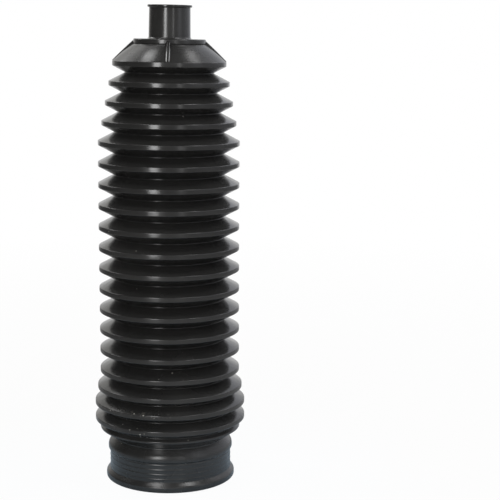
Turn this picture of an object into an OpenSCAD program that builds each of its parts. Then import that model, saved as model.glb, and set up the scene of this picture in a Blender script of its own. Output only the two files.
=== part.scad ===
// Steering rack boot: a bellows that seals a tie rod to its rack housing.
// It is one moulding of black thermoplastic rubber and stands on its large cuff.
// The axis is Z, and z = 0 is the open end of the large cuff.

/* [Neck] */
// Diameter of the neck's bore, which grips the tie rod
neck_bore_d = 15; // [11:0.5:16]
// Wall of the neck under its end lip, where the small clamp sits
neck_wall = 1.9; // [1.2:0.1:3]
// Growth of the neck's diameter from its end down to the shoulder
neck_draft = 0.4; // [0:0.1:0.8]
// Height of the neck above the shoulder disc
neck_h = 15.3; // [11:0.1:24]
// How far the end lip stands out, so that the small clamp can't slide off
neck_lip = 0.8; // [0.5:0.1:2]
// Thickness of that lip
neck_lip_t = 1.1; // [0.8:0.1:2]

/* [Shoulder] */
// Diameter of the shoulder disc between neck and cone
disc_d = 33.2; // [30:0.2:38]
// Thickness of the shoulder disc's rim
disc_t = 2.1; // [1.6:0.1:3.2]
// How far the rim overhangs the top of the cone
disc_overhang = 0.4; // [0.2:0.1:2.6]
// Thickness of the roof that joins the neck to the cone
roof_t = 1.8; // [1.4:0.1:2.1]
// Height of the cone from the uppermost fold's land to the disc
cone_h = 8.1; // [6:0.1:12]
// Thickness of the four gusset fins
fin_t = 1.9; // [1.2:0.1:3]
// Rounding of the fins' long edges
fin_round = 0.7; // [0.2:0.05:0.85]

/* [Folds] */
// Diameter over the uppermost fold
top_fold_d = 52.3; // [48:0.1:58]
// Diameter over the folds of the straight body
body_fold_d = 65.5; // [60:0.1:70]
// Diameter over the largest folds, next to the cuff
low_fold_d = 70.6; // [67:0.2:74]
// Number of folds in the tapering group
cone_folds = 5; // [3:1:7]
// Number of folds in the straight group below it
body_folds = 11; // [6:1:14]
// Number of folds in the large group next to the cuff
low_folds = 3; // [2:1:5]
// Distance between folds in the tapering group
cone_pitch = 9; // [8:0.05:10]
// Distance between folds in the straight group
body_pitch = 9.65; // [8.4:0.05:11]
// Distance from the straight group to the first large fold
step_pitch = 8.2; // [7.4:0.1:10]
// Distance between folds in the large group
low_pitch = 7.5; // [6.8:0.1:10]
// Height of the flat land round the outside of each fold
land_h = 2; // [1.8:0.05:2.6]
// Slope of the folds' flanks from the horizontal, in degrees
flank_deg = 27.5; // [24:0.5:34]
// Wall thickness of the folds and the cone
wall = 1.15; // [0.9:0.05:1.3]
// Rounding at the foot of the groove between two folds
groove_round = 0.2; // [0.15:0.05:0.8]
// Rounding of the lands' edges
land_round = 0.35; // [0.1:0.05:0.45]

/* [Stiffening ring] */
// Diameter of the thin ring under the lowest fold
ring_d = 66; // [62:0.2:68]
// Thickness of the ring's edge
ring_t = 0.8; // [0.5:0.1:1.3]
// Depth of the groove between the ring and the lowest fold
ring_groove = 1.45; // [0.8:0.05:2]
// Height of that groove's lower side, from the ring's edge up to the groove's foot
ring_gap = 1.35; // [0.8:0.05:1.8]
// Distance from the ring's underside up to the middle of the lowest fold
ring_drop = 5.2; // [4.8:0.1:7]

/* [Cuff] */
// Diameter of the cuff's bore, which grips the rack housing
cuff_bore_d = 53; // [46:0.5:58]
// Wall of the cuff under the seat where the large clamp sits
cuff_wall = 2.1; // [1.7:0.1:3]
// Length of that seat
seat_h = 8.2; // [7.5:0.1:12]
// How far the lip at the open end stands out from the seat
lip_out = 1.8; // [1:0.1:3]
// Straight height of that lip
lip_h = 2.6; // [2.5:0.1:7]
// Height of the slope from the lip in to the seat
lip_slope_h = 2.6; // [1:0.1:4]
// How far the bead above the seat stands out from it
bead_out = 0.8; // [0.4:0.1:1.4]
// Height of the bead's straight part
bead_h = 2.6; // [1.5:0.1:4]
// Height of the slope from the bead up to the foot of the waist
bead_slope_h = 3.3; // [2.5:0.1:5]
// How far the foot of the waist is set in from the seat
waist_in = 1.9; // [1.2:0.1:2.8]
// Height of the waist's upper flank, from its foot up to the ring
waist_h = 4.2; // [3:0.1:6]
// Rounding at the foot of the waist
waist_round = 0.35; // [0.2:0.05:1]
// Number of fine grip ribs spread over the clamp seat
rib_count = 4; // [0:1:4]
// Width of a grip rib's foot
rib_w = 1; // [0.6:0.1:1.2]
// Height of the grip ribs
rib_h = 0.1; // [0.1:0.05:0.3]

/* [Hidden] */
$fn = 96;

// Largest angle that one straight step of a rounding spans, in degrees
step_deg = 32;
// Largest share of a side that the rounding at one of its ends may take
round_share = 0.48;
// How far the cavity runs past the open ends
over = 0.5;
// Depth of a fin's bar, whose inner part the cavity cuts away
fin_depth = 4;
// How far a fin's top line starts inside the disc's rim, and ends inside the uppermost land
fin_start_in = 0.45;
fin_end_in = 0.25;
// Distance from the clamp seat's ends to the feet of the outer grip ribs
rib_edge = 0.25;
// Roundings of the cuff: its open end, the lip's shoulder, the seat's foot, and the bead
cuff_end_round = 1.2;
lip_round = 2.5;
seat_round = 0.8;
bead_foot_round = 0.6;
bead_round = 2;
small_round = 0.4;
// Rounding of the cavity's corners in cuff and roof
inner_round = 0.7;
// Rounding between neck and disc, and of the disc's rim
neck_root_round = 1;
disc_round = 0.5;
// Lead-in chamfer at the mouth of each bore
mouth = 0.6;

neck_bore_r = neck_bore_d / 2;
neck_r = neck_bore_r + neck_wall;
disc_r = disc_d / 2;
top_fold_r = top_fold_d / 2;
body_fold_r = body_fold_d / 2;
low_fold_r = low_fold_d / 2;
ring_r = ring_d / 2;
cuff_bore_r = cuff_bore_d / 2;
seat_r = cuff_bore_r + cuff_wall;
lip_r = seat_r + lip_out;
bead_r = seat_r + bead_out;
waist_r = seat_r - waist_in;
ring_groove_r = ring_r - ring_groove;
cone_top_r = disc_r - disc_overhang;

// Number of the first large fold, counted from the neck
first_low = cone_folds + body_folds + 1;
folds = first_low + low_folds - 1;

// Radius over fold i
function crest_r(i) =
    i <= cone_folds ? top_fold_r + (body_fold_r - top_fold_r) * (i - 1) / (cone_folds - 1)
    : i < first_low ? body_fold_r
    : i == first_low ? (body_fold_r + low_fold_r) / 2
    : low_fold_r;

// Distance from fold i up to the fold above it
function pitch_above(i) =
    i <= cone_folds ? cone_pitch
    : i < first_low ? body_pitch
    : i == first_low ? step_pitch
    : low_pitch;

// Height of the middle of fold i
function crest_z(i) = i == folds ? low_crest_z : crest_z(i + 1) + pitch_above(i + 1);

// Heights, stacked from the open end up; the bead's lower side slopes at 45 degrees
seat_z = lip_h + lip_slope_h;
seat_top_z = seat_z + seat_h;
bead_z = seat_top_z + bead_out;
bead_top_z = bead_z + bead_h;
waist_z = bead_top_z + bead_slope_h;
ring_z = waist_z + waist_h;
low_crest_z = ring_z + ring_drop;
cone_z = crest_z(1) + land_h / 2;
disc_z = cone_z + cone_h;
neck_z = disc_z + disc_t;
roof_z = neck_z - roof_t;
top_z = neck_z + neck_h;

// The outline is a list of corners [radius, height, rounding], from the cuff up to the neck.
// Foot of the groove above fold i, where the flanks of two folds would meet
function groove_corner(i) =
    let (gap = pitch_above(i) - land_h,
         mean_r = (crest_r(i) + crest_r(i - 1)) / 2,
         r = mean_r - gap / (2 * tan(flank_deg)))
    [r, crest_z(i) + land_h / 2 + (crest_r(i) - r) * tan(flank_deg), groove_round];

function fold_corners(i) =
    concat(
        [[crest_r(i), crest_z(i) - land_h / 2, land_round],
         [crest_r(i), crest_z(i) + land_h / 2, land_round]],
        i > 1 ? [groove_corner(i)] : []);

// Fine ribs spread evenly over the clamp seat
rib_pitch = (seat_h - rib_w - 2 * rib_edge) / max(1, rib_count - 1);
function rib_corners() =
    [for (k = [0:1:rib_count - 1])
        let (z = seat_z + seat_h / 2 + (k - (rib_count - 1) / 2) * rib_pitch)
        each [[seat_r, z - rib_w / 2, small_round],
              [seat_r + rib_h, z, small_round],
              [seat_r, z + rib_w / 2, small_round]]];

cuff_corners = concat(
    [[lip_r, 0, cuff_end_round],
     [lip_r, lip_h, lip_round],
     [seat_r, seat_z, seat_round]],
    rib_corners(),
    [[seat_r, seat_top_z, small_round],
     [bead_r, bead_z, bead_foot_round],
     [bead_r, bead_top_z, bead_round],
     [waist_r, waist_z, waist_round]]);

ring_corners =
    [[ring_r, ring_z, land_round],
     [ring_r, ring_z + ring_t, land_round],
     [ring_groove_r, ring_z + ring_t + ring_gap, groove_round]];

bellows_corners = [for (i = [folds:-1:1]) each fold_corners(i)];

neck_corners =
    [[cone_top_r, disc_z, small_round],
     [disc_r, disc_z, disc_round],
     [disc_r, neck_z, disc_round],
     [neck_r + neck_draft / 2, neck_z, neck_root_round],
     [neck_r, top_z - neck_lip_t, small_round],
     [neck_r + neck_lip, top_z - neck_lip_t, land_round],
     [neck_r + neck_lip, top_z, land_round]];

outside_corners = concat(cuff_corners, ring_corners, bellows_corners, neck_corners);

// Unit normal of the step from p to q, to the left of the way it goes, so towards the axis
function inwards(p, q) =
    let (d = [q[0] - p[0], q[1] - p[1]])
    [-d[1], d[0]] / norm(d);

// Corner i of run c, moved inwards by t. A groove's rounding grows with the wall round it.
function inset(c, i, t) =
    let (a = inwards(c[i - 1], c[i]),
         b = inwards(c[i], c[i + 1]),
         shift = (a + b) * t / (1 + a * b))
    [c[i][0] + shift[0], c[i][1] + shift[1], cross(a, b) < 0 ? c[i][2] + t : small_round];

// The cavity follows the folds at the wall's thickness, between two straight bores.
// It runs straight behind the ring, from the waist to the groove over the ring, and the
// cuff's bore ends where the slope behind the bead would leave less than one wall.
waist_run = [[bead_r, bead_top_z], [waist_r, waist_z, waist_round], [ring_r, ring_z]];
waist_inset = inset(waist_run, 1, wall);
bore_end_z = waist_inset[1] - (cuff_bore_r - waist_inset[0]) * bead_slope_h / (bead_r - waist_r);
bellows_run = concat([ring_corners[1], ring_corners[2]], bellows_corners, [neck_corners[0]]);
bellows_inset = [for (i = [1:len(bellows_run) - 2]) inset(bellows_run, i, wall)];
cone_foot = bellows_inset[len(bellows_inset) - 1];
cone_slope = (top_fold_r - cone_top_r) / cone_h;

cavity_corners = concat(
    [[cuff_bore_r + mouth + over, -over, 0],
     [cuff_bore_r, mouth, 0],
     [cuff_bore_r, bore_end_z, inner_round],
     waist_inset],
    bellows_inset,
    [[cone_foot[0] - (roof_z - cone_foot[1]) * cone_slope, roof_z, inner_round],
     [neck_bore_r, roof_z, inner_round],
     [neck_bore_r, top_z - mouth, 0],
     [neck_bore_r + mouth + over, top_z + over, 0]]);

// Points of the rounding at corner b, which lies between a and c
function rounded(a, b, c) =
    let (u = [a[0] - b[0], a[1] - b[1]],
         v = [c[0] - b[0], c[1] - b[1]],
         to_a = u / norm(u),
         to_c = v / norm(v),
         half = acos(max(-1, min(1, to_a * to_c))) / 2,
         run = min(b[2] / tan(half), round_share * norm(u), round_share * norm(v)),
         corner = [b[0], b[1]],
         centre = corner + (to_a + to_c) / norm(to_a + to_c) * run / cos(half),
         arm = corner + to_a * run - centre,
         sweep = -sign(cross(to_a, to_c)) * (180 - 2 * half),
         steps = ceil(abs(sweep) / step_deg))
    run == 0 ? [corner]
    : [for (k = [0:steps])
        let (w = sweep * k / steps)
        centre + [arm[0] * cos(w) - arm[1] * sin(w), arm[0] * sin(w) + arm[1] * cos(w)]];

// A closed outline of plain points from a run of corners, led back along the axis
function outline(c) =
    let (last = len(c) - 1,
         start = [0, c[0][1]],
         end = [0, c[last][1]])
    concat(
        [start],
        [for (i = [0:last])
            each rounded(i == 0 ? start : c[i - 1], c[i], i == last ? end : c[i + 1])],
        [end]);

module outside() {
    rotate_extrude()
        polygon(outline(outside_corners));
}

module cavity() {
    rotate_extrude()
        polygon(outline(cavity_corners));
}

// One gusset fin: a bar with rounded edges from the disc's rim down to the uppermost land
module fin() {
    start = [disc_r - fin_start_in, neck_z - fin_start_in];
    finish = [top_fold_r - fin_end_in, cone_z];
    fall = atan2(start[1] - finish[1], finish[0] - start[0]);
    section =
        [[-fin_t / 2, 0, fin_round],
         [fin_t / 2, 0, fin_round],
         [fin_t / 2, -fin_depth, 0],
         [-fin_t / 2, -fin_depth, 0]];
    translate([start[0], 0, start[1]])
        rotate([0, 90 + fall, 0])
            rotate(90)
                linear_extrude(norm(finish - start))
                    polygon([for (i = [0:3])
                        each rounded(section[(i + 3) % 4], section[i], section[(i + 1) % 4])]);
}

module boot() {
    color([0.07, 0.07, 0.075])
        difference() {
            union() {
                outside();
                for (turn = [0:90:270])
                    rotate(turn)
                        fin();
            }
            cavity();
        }
}

boot();
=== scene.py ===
# %% [markdown]
# # A steering rack boot in black rubber
# The boot is a soft bellows. Its wide cuff grips the end of a steering rack, its small neck grips
# the tie rod, and the folds between them stretch and squeeze as the wheels turn.
# It is blow moulded in one piece, so it is built here as one closed shell.
# The imported CAD model is loaded first.

# %% Load the imported model
import math

import bmesh
import bpy
from mathutils import Matrix, Vector


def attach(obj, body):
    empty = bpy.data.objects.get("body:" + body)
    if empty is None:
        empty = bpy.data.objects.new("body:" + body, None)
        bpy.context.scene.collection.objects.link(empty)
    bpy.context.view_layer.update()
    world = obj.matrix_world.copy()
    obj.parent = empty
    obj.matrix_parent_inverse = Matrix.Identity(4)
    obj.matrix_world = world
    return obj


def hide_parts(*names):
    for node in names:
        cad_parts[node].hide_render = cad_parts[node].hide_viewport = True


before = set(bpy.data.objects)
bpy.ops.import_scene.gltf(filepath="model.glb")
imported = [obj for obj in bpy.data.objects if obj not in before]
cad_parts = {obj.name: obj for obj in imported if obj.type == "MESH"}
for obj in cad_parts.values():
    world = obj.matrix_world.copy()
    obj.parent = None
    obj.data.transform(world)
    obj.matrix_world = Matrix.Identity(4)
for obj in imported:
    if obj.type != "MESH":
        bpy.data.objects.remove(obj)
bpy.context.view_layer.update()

# %% [markdown]
# ## The section
# A bellows is turned in the mind before it is moulded: half of its section, swept round the axis,
# gives the whole shape. It could be cut from a cylinder fold by fold, but a section drawn as a
# line of corners is easier to measure and to change. Each corner is a radius, a height and a
# rounding in millimetres, and the line starts at the cuff's open end and climbs to the neck.

# %% Sizes of the cuff and its seat
mm = 0.001
# radii
cuff_bore, seat, lip, bead, waist = 26.5, 28.6, 30.4, 29.4, 26.7
# heights, from the open end upwards
lip_top, lip_foot, seat_foot, seat_top = 2.85, 4.5, 5.2, 13.4
bead_foot, bead_top, waist_foot, ring_under = 14.2, 16.6, 20.1, 24.3


def grip_ribs(count=4, width=1.0, height=0.1, edge=0.25):
    """Fine ribs spread over the cuff's seat, which give it grip."""
    corners = []
    pitch = (seat_top - seat_foot - width - 2 * edge) / (count - 1)
    for k in range(count):
        z = (seat_foot + seat_top) / 2 + (k - (count - 1) / 2) * pitch
        corners += [(seat, z - width / 2, 0.4), (seat + height, z, 0.4), (seat, z + width / 2, 0.4)]
    return corners


cuff_corners = [(lip, 0, 1.0), (lip, lip_top, 1.2), (seat, lip_foot, 0.4)]
cuff_corners += grip_ribs()
cuff_corners += [(seat, seat_top, 0.4), (bead, bead_foot, 0.6), (bead, bead_top, 3.0)]
cuff_corners += [(waist, waist_foot, 0.35)]
print("cuff:", len(cuff_corners), "corners, widest at", 2 * lip, "mm")

# %% [markdown]
# ## The folds
# There are nineteen folds in three groups: five that taper under the neck, eleven of one size,
# and three large ones over the cuff. Each has a flat land round its outside and two flanks that
# slope at about 27.5 degrees. So only the lands' sizes are listed, and the foot of every groove
# follows from where two flanks would meet.

# %% Sizes of the folds
land, slope = 2.0, math.tan(math.radians(27.5))
groove_round, land_round = 0.2, 0.35
smallest, taper, middle, step, largest = 26.15, 6.6, 32.75, 34.025, 35.3
lowest_fold = 29.5
fold_radii = [smallest + taper * k / 4 for k in range(5)] + [middle] * 11 + [step, largest, largest]
fold_gaps = [9.0] * 4 + [9.65] * 11 + [8.2, 7.5, 7.5]
fold_heights = [lowest_fold + sum(fold_gaps[k:]) for k in range(len(fold_radii))]
print("folds:", len(fold_radii), "from z", fold_heights[-1], "to", round(fold_heights[0], 2))

# %% Draw the folds


def groove_foot(upper, lower):
    """Where the lower flank of one fold and the upper flank of the next would meet."""
    gap = fold_heights[upper] - fold_heights[lower] - land
    radius = (fold_radii[upper] + fold_radii[lower]) / 2 - gap / (2 * slope)
    height = fold_heights[lower] + land / 2 + (fold_radii[lower] - radius) * slope
    return radius, height, groove_round


fold_corners = []
for k in reversed(range(len(fold_radii))):
    for edge in (-land / 2, land / 2):
        fold_corners.append((fold_radii[k], fold_heights[k] + edge, land_round))
    if k > 0:
        fold_corners.append(groove_foot(k - 1, k))
print("folds:", len(fold_corners), "corners, a middle groove is",
      round(middle - groove_foot(8, 9)[0], 2), "mm deep")

# %% [markdown]
# ## The cone and the neck
# Above the uppermost fold the boot closes to its neck in a cone, with a shoulder disc on top.
# The real cone isn't quite flat: it bulges outwards by a third of a millimetre. That is too little
# to see in the outline, yet it turns two long reflections into two short ones. A few points on a
# shallow arc, each with a very wide rounding, make the bulge.

# %% Sizes of the stiffening ring, the cone, the shoulder disc and the neck
ring, ring_groove, ring_height, ring_rise = 33.0, 31.55, 0.8, 1.35
cone_foot_z = fold_heights[0] + land / 2
cone_top, disc, disc_under, disc_top = 16.2, 16.6, 203.95, 206.05
cone_bulge, fin_bulge, cone_round = 0.3, 0.1, 55
neck_bore, neck, neck_flare = 7.5, 9.4, 0.2
neck_lip, neck_lip_height, top = 10.2, 1.1, 221.35


def bulged(start, end, bulge, parts=4):
    """Points between two ends of a line that bulges outwards by a shallow arc."""
    start, end = Vector(start), Vector(end)
    along = (end - start).normalized()
    outwards = Vector((along.y, -along.x))
    points = []
    for part in range(1, parts):
        share = part / parts
        points.append(start.lerp(end, share) + outwards * bulge * 4 * share * (1 - share))
    return points


ring_corners = [(ring, ring_under, land_round), (ring, ring_under + ring_height, land_round)]
ring_corners += [(ring_groove, ring_under + ring_height + ring_rise, groove_round)]
cone_line = bulged((fold_radii[0], cone_foot_z), (cone_top, disc_under), cone_bulge)
cone_corners = [(point.x, point.y, cone_round) for point in cone_line]
neck_corners = [(cone_top, disc_under, 0.4), (disc, disc_under, 0.5), (disc, disc_top, 0.5)]
neck_corners += [(neck + neck_flare, disc_top, 1.0), (neck, top - neck_lip_height, 0.4)]
neck_corners += [(neck_lip, top - neck_lip_height, land_round), (neck_lip, top, land_round)]
outside = cuff_corners + ring_corners + fold_corners + cone_corners + neck_corners
print("outside:", len(outside), "corners")

# %% [markdown]
# ## The inside
# The wall of a blow moulding is nearly even, so the inside follows each fold. The same line is
# moved inwards by the wall's thickness at each corner, along the line that halves the corner.
# The cuff and the neck are thicker, and their bores are plain cylinders with a small lead-in.

# %% The inner line of the folds
wall, inner_round = 1.15, 0.4


def inset(before, corner, after, depth):
    """A corner moved towards the axis, so that both its sides lie one wall further in."""
    normals = []
    for a, b in ((before, corner), (corner, after)):
        along = Vector((b[0] - a[0], b[1] - a[1])).normalized()
        normals.append(Vector((-along.y, along.x)))
    first, second = normals
    shift = (first + second) * depth / (1 + first.dot(second))
    rounding = corner[2] + depth if first.cross(second) < 0 else inner_round
    return corner[0] + shift.x, corner[1] + shift.y, rounding


outer = ring_corners[-2:] + fold_corners + neck_corners[:1]
folds_inside = [inset(*outer[i - 1:i + 2], wall) for i in range(1, len(outer) - 1)]
print("inside of the folds:", len(folds_inside), "corners, wall", wall, "mm")

# %% The two bores
mouth, mouth_round, bore_round, roof_wall = 0.6, 0.15, 0.7, 1.8
behind_waist = inset((bead, bead_top), cuff_corners[-1], ring_corners[0], wall)
bore_end = behind_waist[1] - ((cuff_bore - behind_waist[0]) * (waist_foot - bead_top)
                              / (bead - waist))
roof = disc_top - roof_wall
cone_slope = (fold_radii[0] - cone_top) / (disc_under - cone_foot_z)
roof_radius = folds_inside[-1][0] - (roof - folds_inside[-1][1]) * cone_slope
inside = [(cuff_bore + mouth, 0, mouth_round), (cuff_bore, mouth, mouth_round)]
inside += [(cuff_bore, bore_end, bore_round), behind_waist] + folds_inside
inside += [(roof_radius, roof, bore_round), (neck_bore, roof, bore_round)]
inside += [(neck_bore, top - mouth, mouth_round), (neck_bore + mouth, top, mouth_round)]
print("inside:", len(inside), "corners, bores", 2 * cuff_bore, "and", 2 * neck_bore, "mm")

# %% [markdown]
# ## From a line to a shell
# The corners become a closed wire, and each is rounded by a bevel of its vertex. The bevel's
# offset runs along the two sides, so it is the radius times the tangent of half the turn.
# Rounding the wire before the spin costs almost nothing, where bevelling a hundred loops of a
# finished bellows would be slow.

# %% Draw the wire
shell = bmesh.new()
section = outside + inside[::-1]
wire = [shell.verts.new((r * mm, 0, z * mm)) for r, z, rounding in section]
for a, b in zip(wire, wire[1:] + wire[:1]):
    shell.edges.new((a, b))
print("section:", len(wire), "corners in one closed line")

# %% Round its corners
most_of_side = 0.48
outer_step, inner_step = 20, 32  # degrees of turn for each piece of a rounding


def rounding_run(i):
    """How far the rounding of corner i runs along its sides, and the turn that it makes."""
    here = Vector(section[i][:2])
    back = Vector(section[i - 1][:2]) - here
    on = Vector(section[(i + 1) % len(section)][:2]) - here
    half = back.angle(on) / 2
    run = min(section[i][2] / math.tan(half), most_of_side * back.length, most_of_side * on.length)
    return run, math.pi - 2 * half


for i, vert in enumerate(wire):
    run, turn = rounding_run(i)
    finest = math.radians(outer_step if i < len(outside) else inner_step)
    bmesh.ops.bevel(shell, geom=[vert], offset=run * mm, offset_type="OFFSET", affect="VERTICES",
                    segments=max(2, round(turn / finest)), profile=0.5, material=-1)
print("rounded section:", len(shell.verts), "points")

# %% Spin it round the axis
around, weld = 136, 0.00001


def report(name, mesh):
    """Prints a mesh's faces, its open edges, of which a closed solid has none, and its volume."""
    print(name + ":", len(mesh.faces), "faces,",
          sum(len(edge.link_faces) != 2 for edge in mesh.edges), "open edges,",
          round(mesh.calc_volume(signed=True) * 1e6, 3), "cm3")


bmesh.ops.spin(shell, geom=shell.verts[:] + shell.edges[:], cent=(0, 0, 0), axis=(0, 0, 1),
               dvec=(0, 0, 0), angle=2 * math.pi, steps=around, use_merge=True)
bmesh.ops.remove_doubles(shell, verts=shell.verts[:], dist=weld)
bmesh.ops.recalc_face_normals(shell, faces=shell.faces[:])
report("shell", shell)

# %% [markdown]
# ## The gusset fins
# Four short fins run down the cone from the disc to the uppermost land and keep the neck from
# folding over. Each is a bar with a narrow crown and sides that open downwards, so that it leaves
# the mould, and a narrow bevel runs along both its long edges. Those bevels catch the light as two
# thin lines. The bar's foot lies inside the cone's wall, so that a union joins the two without a
# gap. A union needs closed solids with flat faces: the sides stay flat because the widening is in
# proportion to the depth, and the bar is cut into triangles and checked for open edges first.

# %% Draw one fin from the side
fin_crown, fin_margin = 1.6, 0.4
fin_top = Vector((disc - fin_margin, disc_top - fin_margin))
fin_end = Vector((fold_radii[0] - 0.05, cone_foot_z + fin_margin))
fin_line = [fin_end] + bulged(fin_end, fin_top, fin_bulge) + [fin_top]
fin_side = fin_line + [fin_top + Vector((-0.7, -2.35)), fin_end + Vector((-0.6, -0.9))]
fin = bmesh.new()
corners = [fin.verts.new((p.x * mm, -fin_crown / 2 * mm, p.y * mm)) for p in fin_side]
side = fin.faces.new(corners)
pulled = bmesh.ops.extrude_face_region(fin, geom=[side])["geom"]
bmesh.ops.translate(fin, vec=(0, fin_crown * mm, 0),
                    verts=[v for v in pulled if isinstance(v, bmesh.types.BMVert)])
bmesh.ops.recalc_face_normals(fin, faces=fin.faces[:])
report("plain fin", fin)

# %% Open its sides downwards and bevel its long edges
fin_draft, fin_edge, same_place = math.tan(math.radians(20)), 0.36, 1e-6
down = Vector((fin_top.y - fin_end.y, fin_end.x - fin_top.x)).normalized()
for v in fin.verts:
    depth = (fin_end * mm - Vector(v.co.xz)).dot(down)
    v.co.y += math.copysign(depth * fin_draft, v.co.y)


def on_crown(vertex):
    """Whether a vertex lies on the fin's upper line."""
    return any((Vector(vertex.co.xz) - p * mm).length < same_place for p in fin_line)


long_edges = [e for e in fin.edges
              if all(on_crown(v) for v in e.verts) and e.verts[0].co.y * e.verts[1].co.y > 0]
bmesh.ops.bevel(fin, geom=long_edges, offset=fin_edge * mm, offset_type="OFFSET", affect="EDGES",
                segments=1, profile=0.5, material=-1)
bmesh.ops.triangulate(fin, faces=fin.faces[:])
print("long edges bevelled:", len(long_edges))
report("fin", fin)

# %% Turn it to its four places
one_fin = bpy.data.meshes.new("one_fin")
fin.to_mesh(one_fin)
fin.free()
four_fins = bmesh.new()
for quarter in range(4):
    four_fins.from_mesh(one_fin)
    turned = Matrix.Rotation(math.pi / 2 * quarter, 3, "Z")
    bmesh.ops.rotate(four_fins, cent=(0, 0, 0), matrix=turned,
                     verts=list(four_fins.verts)[-len(one_fin.vertices):])
report("four fins", four_fins)

# %% Join the fins to the shell


def as_object(mesh_data, name):
    """Puts a bmesh into the scene as an object that sits at the origin."""
    mesh = bpy.data.meshes.new(name)
    mesh_data.to_mesh(mesh)
    mesh_data.free()
    piece = bpy.data.objects.new(name, mesh)
    bpy.context.scene.collection.objects.link(piece)
    return piece


boot = as_object(shell, "rubber_boot")
fins = as_object(four_fins, "fins")
union = boot.modifiers.new("fins", "BOOLEAN")
union.operation, union.solver, union.object = "UNION", "MANIFOLD", fins
graph = bpy.context.evaluated_depsgraph_get()
joined = bpy.data.meshes.new_from_object(boot.evaluated_get(graph))
boot.modifiers.clear()
boot.data = joined
bpy.data.objects.remove(fins)
check = bmesh.new()
check.from_mesh(joined)
report("boot", check)
check.free()

# %% [markdown]
# ## How a soft boot stands
# Rubber never stands quite straight. This boot bows a little to one side half way up, its upper
# end leans towards the camera, and its own weight lets the middle folds sag by a little over half
# a millimetre. The changes are small, so the mesh is simply moved: sideways and forwards with the
# bent axis, and up or down by the tilt of each fold, which stays nearly square to that axis.

# %% Bow the boot
bow, swing, deepest_sag = 0.49, 0.13, 0.58
lean, tilt_middle, tilt_top = 0.018, 0.003, 0.013
sag_start, sag_span = 0.07, 0.765  # shares of the height


def bend(point):
    """The way that one point of the boot moves with its bent axis."""
    share = min(max(point.z / (top * mm), 0), 1)
    hump = math.sin(math.pi * share)
    aside = -bow * hump + swing * math.sin(2 * math.pi * share)
    forward = -lean * share ** 4 / 4 * top
    tilt_aside = tilt_middle * hump - tilt_top * share ** 3
    tilt_forward = lean * share ** 3
    along_sag = min(max((share - sag_start) / sag_span, 0), 1)
    sag = deepest_sag * (1 - math.cos(2 * math.pi * along_sag)) / 2
    rise = point.x * tilt_aside + point.y * tilt_forward - sag * mm
    return Vector((aside * mm, forward * mm, rise))


for vertex in boot.data.vertices:
    vertex.co += bend(vertex.co)
axis = [bend(Vector((0, 0, z * mm))) / mm for z in range(math.ceil(top))]
print("bowed by", round(max(abs(move.x) for move in axis), 2), "mm, leaning by",
      round(-axis[-1].y, 2), "mm, sagging by", round(max(-move.z for move in axis), 2), "mm")

# %% [markdown]
# ## Smooth light over small faces
# The real skin has no facets. The mesh could be cut finer until none show, but smooth shading
# blends the light over them for nothing. Only edges that turn by more than 32 degrees stay sharp,
# such as those of the fins' bevels. Wide faces get more say than narrow ones, so that a flank stays
# flat right up to its rounding. The CAD piece of the boot is then hidden, and this boot hangs on
# the root body in its place.

# %% Shade it smooth and let it stand for the CAD piece
sharp_degrees = 32
for polygon in boot.data.polygons:
    polygon.use_smooth = True
boot.data.set_sharp_from_angle(angle=math.radians(sharp_degrees))
even = boot.modifiers.new("flat flanks", "WEIGHTED_NORMAL")
even.keep_sharp = True
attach(boot, "root")
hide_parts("boot")
print("sharp edges:", sum(edge.use_edge_sharp for edge in boot.data.edges))

# %% [markdown]
# ## The rubber
# The real boot is a black thermoplastic rubber with a soft gloss, faint greyish patches of bloom
# and some dust. All of it could be painted on a picture, but then the boot would have to be
# unwrapped. Here it is worked out from each point's place on the boot, by small chains of nodes
# that helpers build. First come the regions that differ: the cone, the cuff and the fins.

# %% Start the rubber
rubber = bpy.data.materials.new("black_rubber")
rubber.use_nodes = True
nodes, links = rubber.node_tree.nodes, rubber.node_tree.links
shader = nodes["Principled BSDF"]
place = nodes.new("ShaderNodeTexCoord").outputs["Object"]


def split(vector):
    """The x, y and z of a vector."""
    node = nodes.new("ShaderNodeSeparateXYZ")
    links.new(vector, node.inputs[0])
    return tuple(node.outputs)


at_x, at_y, at_z = split(place)
print("rubber starts with", len(nodes), "nodes")

# %% Helpers that work with numbers


def remap(value, low, high, to_low, to_high, kind="LINEAR"):
    """The value between low and high, spread over another range."""
    node = nodes.new("ShaderNodeMapRange")
    node.interpolation_type = kind
    for socket, number in zip(node.inputs[1:5], (low, high, to_low, to_high)):
        socket.default_value = number
    links.new(value, node.inputs["Value"])
    return node.outputs[0]


def calculate(operation, first, *others):
    """Values combined from left to right by one operation; each may be a plain number."""
    for other in others:
        node = nodes.new("ShaderNodeMath")
        node.operation = operation
        for socket, value in zip(node.inputs, (first, other)):
            if isinstance(value, (int, float)):
                socket.default_value = value
            else:
                links.new(value, socket)
        first = node.outputs[0]
    return first


def between(value, rise, fall):
    """1 between two edges and 0 outside; each edge is a pair of where it starts and ends."""
    return calculate("MULTIPLY", remap(value, *rise, 0, 1), remap(value, *fall, 1, 0))


print("three helpers: remap, calculate and between")

# %% The cone, the cuff and the fins
cone_start, cone_end, cuff_end = (0.1955, 0.1965), (0.203, 0.204), (0.019, 0.022)  # heights, m
fin_half_width = (0.0016, 0.002)
on_cone = between(at_z, cone_start, cone_end)
on_cuff = remap(at_z, *cuff_end, 1, 0)
to_fin = calculate("MINIMUM", calculate("ABSOLUTE", at_x, 0), calculate("ABSOLUTE", at_y, 0))
on_fin = calculate("MULTIPLY", on_cone, remap(to_fin, *fin_half_width, 1, 0))
print("regions of the boot:", len(nodes), "nodes so far")

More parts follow.
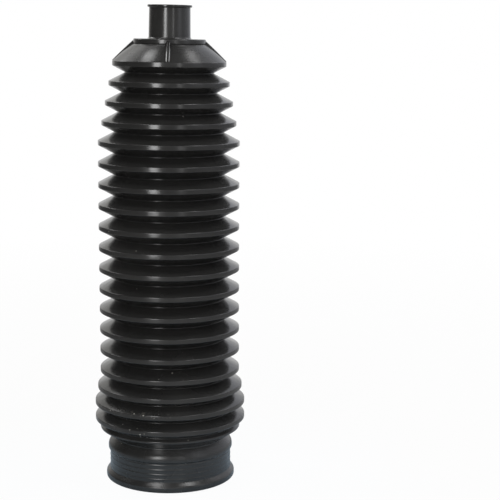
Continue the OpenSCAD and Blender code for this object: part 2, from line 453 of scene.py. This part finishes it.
# %% [markdown]
# ## Dust
# Dust lies on the real boot as small ragged specks, thick along the edge of the second lowest fold
# and thinner above. Each could be a tiny mesh or a painted dot. Here the middles of a few cells of
# a pattern are coloured, so that thousands of specks cost nothing, and the share of the cells that
# are coloured says how thick the dust lies.

# %% Patches and specks


def clouds(scale, detail, stretch=(1, 1, 1)):
    """Soft noise in the boot's own coordinates."""
    mapping = nodes.new("ShaderNodeMapping")
    mapping.inputs["Scale"].default_value = stretch
    texture = nodes.new("ShaderNodeTexNoise")
    texture.inputs["Scale"].default_value = scale
    texture.inputs["Detail"].default_value = detail
    links.new(place, mapping.inputs["Vector"])
    links.new(mapping.outputs[0], texture.inputs["Vector"])
    return texture.outputs["Fac"]


def specks(scale, radius, share, ragged_by=0.07):
    """Small ragged specks: the middles of a few of the cells that fill space."""
    cells = nodes.new("ShaderNodeTexVoronoi")
    cells.inputs["Scale"].default_value = scale
    links.new(place, cells.inputs["Vector"])
    pick = nodes.new("ShaderNodeSeparateColor")
    links.new(cells.outputs["Color"], pick.inputs[0])
    outline = remap(clouds(2600, 2), 0.3, 0.7, -ragged_by, ragged_by)
    near = calculate("LESS_THAN", calculate("ADD", cells.outputs["Distance"], outline), radius)
    chosen = calculate("LESS_THAN", pick.outputs[0], share)
    return calculate("MULTIPLY", near, chosen)


far_and_wide = specks(900, 0.18, 0.0015)
print("a few specks all over:", len(nodes), "nodes so far")

# %% Dust on the lowest folds


def distance(vector, centre=(0, 0, 0)):
    """How far a point lies from a centre."""
    node = nodes.new("ShaderNodeVectorMath")
    node.operation = "DISTANCE"
    node.inputs[1].default_value = centre
    links.new(vector, node.inputs[0])
    return node.outputs["Value"]


def rub(centre, radius, most, core=0.3):
    """The most round one place on the boot, and less and less out to the radius."""
    return remap(distance(place, centre), radius * core, radius, most, 0)


second_fold_edge = between(at_z, (0.0368, 0.0372), (0.0384, 0.039))
low_down = remap(at_z, 0.03, 0.06, 0.01, 0.0015)
edge_crowd = calculate("MULTIPLY", second_fold_edge, rub((-0.0209, -0.0285, 0.037), 0.02, 0.4))
spot_crowd = rub((-0.0135, -0.0326, 0.029), 0.006, 0.3)
crowd = calculate("MAXIMUM", low_down, edge_crowd, spot_crowd)
left_front = calculate("MULTIPLY", remap(at_x, 0.008, -0.008, 0, 1),
                       remap(at_y, -0.005, -0.012, 0, 1))
scuff = calculate("MULTIPLY", second_fold_edge, left_front,
                  remap(clouds(900, 4), 0.55, 0.68, 0, 0.22))
dust = calculate("MAXIMUM", specks(620, 0.2, crowd), far_and_wide, scuff)
print("dust:", len(nodes), "nodes so far")

# %% [markdown]
# ## Colour and gloss
# The rubber is nearly black. The mould has left the folds glossy and the cone and the cuff a little
# duller, and dust is dull. One colour and one roughness all over would look like hard plastic, so
# both are varied by soft noise and by the regions found above.

# %% Colour
deep_black, faint_bloom = (0.0178, 0.0175, 0.0168), (0.0275, 0.027, 0.026)
dust_grey = (0.26, 0.25, 0.22)


def tinted(fac, first, second):
    """A colour between two others; each is a socket or a plain colour."""
    node = nodes.new("ShaderNodeMix")
    node.data_type = "RGBA"
    links.new(fac, node.inputs["Factor"])
    for socket, value in ((node.inputs[6], first), (node.inputs[7], second)):
        if isinstance(value, tuple):
            socket.default_value = (*value, 1)
        else:
            links.new(value, socket)
    return node.outputs[2]


bloom = remap(clouds(34, 4, (1, 1, 0.5)), 0.5, 0.72, 0, 1)
black = tinted(bloom, deep_black, faint_bloom)
links.new(tinted(dust, black, dust_grey), shader.inputs["Base Color"])
print("colour:", len(nodes), "nodes so far")

# %% Gloss
glossiest, dullest = 0.165, 0.235
satin_more, fin_less, dust_roughness = 0.07, 0.12, 0.6
skin = remap(clouds(60, 3), 0.3, 0.7, glossiest, dullest)
satin = calculate("MULTIPLY", calculate("MAXIMUM", on_cone, on_cuff), satin_more)
glossy_fin = calculate("MULTIPLY", on_fin, fin_less)
roughness = calculate("SUBTRACT", calculate("ADD", skin, satin), glossy_fin)
dusty = calculate("MULTIPLY", dust, dust_roughness)
links.new(calculate("MAXIMUM", roughness, dusty), shader.inputs["Roughness"])
shader.inputs["IOR"].default_value = 1.47
print("roughness from", glossiest, "to", round(dullest + satin_more, 3), "and on the fins",
      round(glossiest + satin_more - fin_less, 3), "at least")

# %% [markdown]
# ## A skin that isn't flat
# A blown skin waves a little over each land, which makes the long highlights uneven. It also has
# faint rings from the turned mould and a fine grain. As real shape that would need millions of
# faces. A bump only changes where the light is mirrored to, which is all that the eye sees of it.

# %% Unevenness of the skin


def uneven(pattern, depth, under=None):
    """Small ups and downs that only the light meets, laid over those of an earlier layer."""
    bump = nodes.new("ShaderNodeBump")
    bump.inputs["Distance"].default_value = depth
    links.new(pattern, bump.inputs["Height"])
    if under is not None:
        links.new(under.outputs[0], bump.inputs["Normal"])
    return bump


waves = uneven(clouds(130, 1.5, (1, 1, 1.6)), 0.00014)
links.new(remap(at_z, 0.194, 0.196, 1, 0.3), waves.inputs["Strength"])
rings = uneven(clouds(1, 2, (14, 14, 1300)), 0.000015, waves)
grain = uneven(clouds(1500, 3), 0.000006, rings)
links.new(grain.outputs[0], shader.inputs["Normal"])
boot.data.materials.clear()
boot.data.materials.append(rubber)
print("rubber:", len(nodes), "nodes")

# %% [markdown]
# ## The table and the paper behind it
# The boot stands on white paper that runs on behind it. A lamp strong enough to burn the paper
# white would wash out the rubber, so the white is a glow of strength 1. It is met by the rays that
# the camera sends out, through clear things too, and by rays mirrored straight on behind the boot.
# Every other ray meets real paper, because white all round would turn the black rubber grey. A
# small share of real paper is left near the boot, which keeps its shadow. Near the boot the paper's
# colour has painted blue light in it, matching the paper's blue image in the cuff, and to the left
# it is painted darker, as painted shade where the lit part of the table ends.

# %% Lay the paper


def plane(name, corners):
    """A flat sheet through its corners, which isn't part of the boot."""
    sheet = bmesh.new()
    sheet.faces.new([sheet.verts.new(c) for c in corners])
    piece = as_object(sheet, name)
    return piece


reach = 6
floor = plane("floor", [(-reach, -reach, 0), (reach, -reach, 0), (reach, reach, 0),
                        (-reach, reach, 0)])
paper = bpy.data.materials.new("white_paper")
paper.use_nodes = True
floor.data.materials.append(paper)
print("floor:", [round(side, 2) for side in floor.dimensions], "m")

# %% Its tone, with painted light and shade
nodes, links = paper.node_tree.nodes, paper.node_tree.links
# The first colour is painted blue light on the paper near the boot, the second is painted shade at
# the paper's left, and the third is the paper's own white.
painted_blue_light, painted_left_shade, sheet_white = (0.55, 0.68, 0.79), (0.28, 0.28, 0.28), (0.74, 0.74, 0.73)
diffuse = nodes["Principled BSDF"]
diffuse.inputs["Roughness"].default_value = 0.6
diffuse.inputs["Specular IOR Level"].default_value = 0.2
on_floor = nodes.new("ShaderNodeTexCoord").outputs["Object"]
floor_x, floor_y = split(on_floor)[:2]
from_boot = distance(on_floor)
# Painted shade: the paper darkens towards the left. Painted blue light: it turns blue near the
# boot.
lit = tinted(remap(floor_x, -0.45, 0.5, 0, 1), painted_left_shade, sheet_white)
tone = tinted(remap(from_boot, 0.06, 0.13, 0, 1), painted_blue_light, lit)
links.new(tone, diffuse.inputs["Base Color"])
print("paper:", len(nodes), "nodes for its tone")

# %% White for the camera


def sees_white(behind):
    """1 for a ray that takes the background as plain white: every camera or see-through ray, and a
    mirrored ray where the background lies straight behind the boot."""
    ray = nodes.new("ShaderNodeLightPath").outputs
    mirrored = calculate("MULTIPLY", ray["Is Glossy Ray"], behind)
    return calculate("MAXIMUM", ray["Is Camera Ray"], ray["Is Transmission Ray"], mirrored)


def lay_over(share, under, upper, output):
    """Mixes two shaders by a share of the upper one and sends the result to an output."""
    mix = nodes.new("ShaderNodeMixShader")
    for value, socket in zip((share, under.outputs[0], upper.outputs[0]), mix.inputs):
        links.new(value, socket)
    links.new(mix.outputs[0], output.inputs["Surface"])


print("two helpers: sees_white and lay_over")

# %% Mix the white into the paper
narrowing = 1.4
glow = nodes.new("ShaderNodeEmission")
glow.inputs["Strength"].default_value = 1.0
aside = calculate("MULTIPLY", calculate("ABSOLUTE", floor_x, 0), narrowing)
straight_behind = remap(calculate("SUBTRACT", floor_y, aside), 0.2, 0.6, 0, 1)
glow_share = calculate("MULTIPLY", sees_white(straight_behind),
                       remap(from_boot, 0.15, 0.8, 0.96, 1))
lay_over(glow_share, diffuse, glow, nodes["Material Output"])
print("paper:", len(nodes), "nodes")

# %% [markdown]
# ## The room
# Glossy black rubber has hardly any colour of its own. What the eye reads as its shape is the room
# mirrored in it, so the room is drawn as a ring of brightness round the horizon: dim in front,
# where the camera stands, darker still at the left, bright at the right as from a window, and pale
# behind. A dark ceiling keeps the upper flanks of the folds black. Angles are measured from the
# camera's side, which is a little to the right of the front fin.

# %% Start the room
camera_side = 1.75  # degrees
world = bpy.data.worlds.new("pale_room")
bpy.context.scene.world = world
world.use_nodes = True
nodes, links = world.node_tree.nodes, world.node_tree.links
to_right, to_back, upwards = split(nodes.new("ShaderNodeTexCoord").outputs["Generated"])
bearing = calculate("ARCTAN2", to_right, calculate("MULTIPLY", to_back, -1))
print("room starts with", len(nodes), "nodes")

# %% Paint its walls
brightness = [(-180, 0.95), (-150, 0.8), (-135, 0.3), (-112, 0.06), (-50, 0.06), (-32, 0.36),
              (0, 0.46), (22, 0.34), (36, 0.33), (46, 0.75), (54, 1.3), (62, 1.15), (74, 0.56),
              (100, 0.8), (130, 0.85), (180, 0.95)]
cool_tint = (-0.03, -0.01, 0.06)
walls = nodes.new("ShaderNodeValToRGB")
links.new(remap(bearing, -math.pi, math.pi, 0, 1), walls.inputs["Fac"])
stops = walls.color_ramp.elements
while len(stops) < len(brightness):
    stops.new(0.5)
for stop, (angle, value) in zip(stops, brightness):
    stop.position = min(max((angle + camera_side + 180) / 360, 0), 1)
    cool = min(max(angle / 60, -0.5), 1)
    stop.color = [value * (1 + tint * cool) for tint in cool_tint] + [1]
print("walls:", len(stops), "steps of brightness, the brightest",
      max(value for angle, value in brightness))

# %% Hang the ceiling and the white behind
ceiling = remap(upwards, 0.72, 0.88, 1.0, 0.03, "SMOOTHSTEP")
shaded = nodes.new("ShaderNodeVectorMath")
shaded.operation = "SCALE"
links.new(walls.outputs["Color"], shaded.inputs[0])
links.new(ceiling, shaded.inputs["Scale"])
room = nodes["Background"]
room.inputs["Strength"].default_value = 1.0
links.new(shaded.outputs[0], room.inputs["Color"])
white = nodes.new("ShaderNodeBackground")
white.inputs["Color"].default_value = (1, 1, 1, 1)
under_ceiling = calculate("MULTIPLY", remap(to_back, 0.88, 0.98, 0, 1), ceiling)
lay_over(sees_white(under_ceiling), room, white, nodes["World Output"])
print("room:", len(nodes), "nodes")

# %% [markdown]
# ## The lamps
# Every bright streak on the boot is the image of one lamp. Where the rubber faces along n and is
# seen along v, it mirrors whatever lies along 2(n.v)n - v, so each lamp was placed by asking where
# a streak lies and which way the rubber faces there. The key makes the long streak down all the
# folds and the fill a weak one beside it. Two high lamps make the glints on the cuff's lip, three
# behind the boot make the spots on the cone, and two more light the bevels of the front fin.
# A lamp's image is as bright as its power for each part of its area, so a lamp is given that
# brightness, and its power follows from its size.

# %% The key and the fill


def softbox(name, stand, aim, width, height, radiance):
    """A rectangular lamp of even brightness that stands at one point and looks at another."""
    lamp = bpy.data.lights.new(name, "AREA")
    lamp.shape = "RECTANGLE"
    lamp.size, lamp.size_y = width, height
    lamp.energy = 4 * radiance * width * height
    holder = bpy.data.objects.new(name, lamp)
    bpy.context.scene.collection.objects.link(holder)
    stand, aim = Vector(stand), Vector(aim)
    facing = (aim - stand).to_track_quat("-Z", "Y").to_matrix().to_4x4()
    holder.matrix_world = Matrix.Translation(stand) @ facing
    holder.visible_camera = False
    print(name + ":", width, "by", height, "m, power", round(lamp.energy, 3))


def around_boot(azimuth, away, height):
    """A place round the boot. Azimuth 0 is the camera's side, and its right is positive."""
    angle = math.radians(azimuth + camera_side)
    return (away * math.sin(angle), -away * math.cos(angle), height)


softbox("left_key", around_boot(-23.8, 0.75, 0.32), around_boot(-23.8, 0, 0.32), 0.165, 0.6, 8.3)
softbox("right_fill", around_boot(19.5, 0.8, 0.315), around_boot(19.5, 0, 0.315), 0.08, 0.57, 2.1)

# %% The small lamps
lip_left, lip_right = (-0.006, -0.029, 0), (0.009, -0.028, 0)
cone_left, cone_right, front_fin = (-0.01, -0.02, 0.2), (0.01, -0.02, 0.2), (0, -0.021, 0.2)
softbox("high_left", around_boot(-45, 0.272, 0.658), lip_left, 0.16, 0.14, 9.0)
softbox("high_right", around_boot(59, 0.307, 0.642), lip_right, 0.16, 0.14, 9.0)
softbox("back_left", around_boot(-122, 0.28, 0.838), cone_left, 0.1, 0.15, 7.5)
softbox("back_right", around_boot(122.8, 0.319, 0.82), cone_right, 0.09, 0.12, 7.0)
softbox("glow_left", around_boot(-135, 0.56, 0.7), cone_left, 0.3, 0.3, 0.9)
softbox("fin_left", (-0.406, 0.284, 0.48), front_fin, 0.15, 0.15, 4.2)
softbox("fin_right", (0.412, 0.257, 0.499), front_fin, 0.15, 0.15, 2.5)

# %% [markdown]
# ## The camera
# The camera stands sixty centimetres away, level with the shoulder disc, and looks slightly down.
# Its distance and lens were fitted to the nineteen folds, whose ovals open more and more towards
# the foot. The lens was measured in picture points, for a picture 500 points wide.

# %% Camera
focal_points, picture_points, film = 1297.43, 500, 36
yaw, tilt, roll = (math.radians(angle) for angle in (3.557 - camera_side, 8.77, 0.46))
eye = bpy.data.cameras.new("camera")
eye.lens = focal_points / picture_points * film
eye.sensor_width = film
camera = bpy.data.objects.new("camera", eye)
bpy.context.scene.collection.objects.link(camera)
camera.rotation_mode = "XYZ"
camera.location = around_boot(0, 0.602, 0.2014)
turn = (Matrix.Rotation(-yaw, 3, "Z") @ Matrix.Rotation(math.pi / 2 - tilt, 3, "X")
        @ Matrix.Rotation(roll, 3, "Z"))
camera.rotation_euler = turn.to_euler()
bpy.context.scene.camera = camera
bpy.context.scene.view_settings.view_transform = "Standard"
print("camera:", round(eye.lens, 1), "mm lens on a", film, "mm film")

# %% Finish
print("boot:", [round(side / mm, 2) for side in boot.dimensions], "mm")
